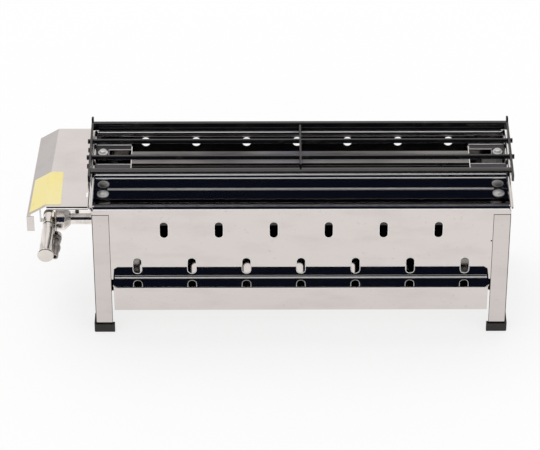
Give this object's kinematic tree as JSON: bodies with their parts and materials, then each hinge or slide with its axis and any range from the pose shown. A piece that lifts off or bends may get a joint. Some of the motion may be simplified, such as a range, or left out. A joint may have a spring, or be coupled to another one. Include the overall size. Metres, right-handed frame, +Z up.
{
  "type": "gas skewer grill",
  "caption": "Table-top gas grill for skewers: folded stainless body on rubber-shod legs, lift-off bar grate, drip drawer, hooded pipe burner, side cock cover.",
  "frame": {"origin": "on the floor, under the middle of the whole outline, cock cover and grate ends included", "axes": "+X along the grill to the right as the cook faces it, +Y to the rear, +Z up"},
  "size_m": [0.658, 0.215, 0.2234],
  "materials": {
    "polished_stainless": "bright rolled stainless sheet, nearly a mirror",
    "heated_stainless": "stainless sheet dulled by heat",
    "black_enamel": "glossy black heat-proof coat",
    "black_rubber": "moulded, satin",
    "zinc_plated_steel": "bright zinc plate",
    "plated_tube": "bright plated steel",
    "black_screw": "black oxide",
    "brass": "turned brass, darkened",
    "chrome_plate": "chrome plate on a casting",
    "dark_nickel": "dark nickel plate",
    "yellow_label": "printed film, bare"
  },
  "bodies": {
    "body": {"front_panel": "polished_stainless", "rear_panel": "polished_stainless", "left_end_panel": "polished_stainless", "right_end_panel": "polished_stainless", "leg_front_left": "polished_stainless", "leg_front_right": "polished_stainless", "leg_rear_left": "polished_stainless", "leg_rear_right": "polished_stainless", "front_shelf": "polished_stainless", "chamber_front_wall": "polished_stainless", "cock_cover": "polished_stainless", "drawer_rail_left": "polished_stainless", "drawer_rail_right": "polished_stainless", "radiant_hood": "heated_stainless", "hood_end_left": "heated_stainless", "hood_end_right": "heated_stainless", "hood_straps_left": "heated_stainless", "hood_straps_right": "heated_stainless", "hood_bracket_left": "heated_stainless", "hood_bracket_right": "heated_stainless", "foot_front_left": "black_rubber", "foot_front_right": "black_rubber", "foot_rear_left": "black_rubber", "foot_rear_right": "black_rubber", "shelf_screws": "zinc_plated_steel", "hood_bolts": "zinc_plated_steel", "cover_screws": "zinc_plated_steel", "burner_tail_bolt": "zinc_plated_steel", "burner_bracket": "zinc_plated_steel", "burner_pipe": "zinc_plated_steel", "valve_hanger": "zinc_plated_steel", "mixing_tube": "plated_tube", "tube_lock_screw": "black_screw", "jet_holder": "brass", "gas_jet": "brass", "gland_nut": "brass", "valve_body": "chrome_plate", "hose_inlet": "dark_nickel", "blank_label": "yellow_label"},
    "tray": {"drip_tray": "polished_stainless", "tray_front": "polished_stainless"},
    "knob": {"control_knob": "chrome_plate", "valve_spindle": "brass"},
    "shutter": {"air_shutter": "zinc_plated_steel"},
    "grate": {"grate_end_flats": "black_enamel", "grate_rear_bar": "black_enamel", "grate_front_bar": "black_enamel", "grate_rods": "black_enamel", "grate_centre_stay": "black_enamel"}
  },
  "joints": [
    {"name": "tray_slide", "type": "slide", "parent": "body", "child": "tray", "axis": [0, -1, 0], "range_m": [0, 0.16]},
    {"name": "knob_turn", "type": "hinge", "parent": "body", "child": "knob", "pos_m": [-0.3095, -0.0055, 0.0985], "axis": [0, -1, 0], "range_deg": [0, 90]},
    {"name": "shutter_turn", "type": "hinge", "parent": "body", "child": "shutter", "pos_m": [-0.2989, 0.0425, 0.0985], "axis": [1, 0, 0], "range_deg": [0, 60]},
    {"name": "grate_lift", "type": "slide", "parent": "body", "child": "grate", "axis": [0, 0, 1], "range_m": [0, 0.1]}
  ]
}
